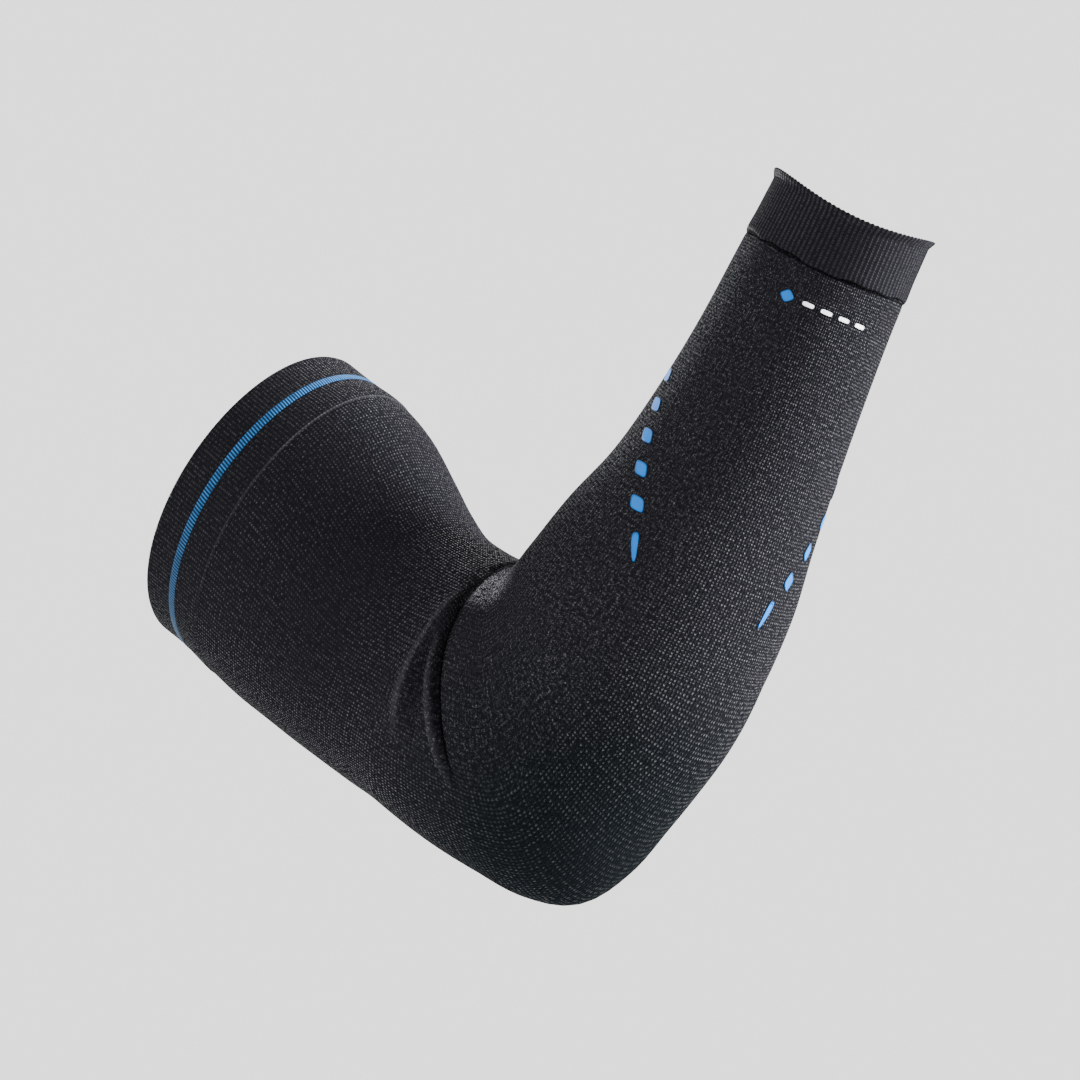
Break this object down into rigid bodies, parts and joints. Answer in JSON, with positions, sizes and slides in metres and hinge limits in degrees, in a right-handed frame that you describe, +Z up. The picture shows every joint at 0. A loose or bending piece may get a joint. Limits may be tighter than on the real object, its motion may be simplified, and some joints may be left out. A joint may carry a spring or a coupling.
{
  "type": "arm compression sleeve",
  "caption": "Long knitted compression sleeve for a bent arm, open at wrist and upper arm, with a ribbed cuff, a striped band and small raised printed lozenges.",
  "frame": {"origin": "elbow seat: the point inside the elbow where the forearm axis and the upper arm axis cross", "axes": "+Z up; the bend plane is XZ; the forearm rises from the elbow towards +X and +Z, the upper arm towards -X and +Z; -Y is the side with the elbow's fold that the picture shows"},
  "size_m": [0.2887, 0.1056, 0.2394],
  "materials": {
    "body_knit": "near-black fine knit with a soft grey sheen",
    "rib_knit": "near-black one-by-one rib knit",
    "band_knit": "near-black doubled fine knit",
    "stripe_yarn": "light blue knitted-in yarn, matte",
    "blue_print": "light azure raised print, satin",
    "white_print": "white raised print, satin"
  },
  "bodies": {
    "root": {"sleeve_body": "body_knit", "wrist_cuff": "rib_knit", "upper_band": "band_knit", "band_stripe": "stripe_yarn", "inner_lozenge_1": "blue_print", "inner_lozenge_2": "blue_print", "inner_lozenge_3": "blue_print", "inner_lozenge_4": "blue_print", "inner_lozenge_5": "blue_print", "inner_drop": "blue_print", "outer_lozenge_1": "blue_print", "outer_lozenge_2": "blue_print", "outer_lozenge_3": "blue_print", "outer_lozenge_4": "blue_print", "outer_lozenge_5": "blue_print", "outer_drop": "blue_print", "mark_lozenge": "blue_print", "mark_dash_1": "white_print", "mark_dash_2": "white_print", "mark_dash_3": "white_print", "mark_dash_4": "white_print"}
  },
  "joints": []
}
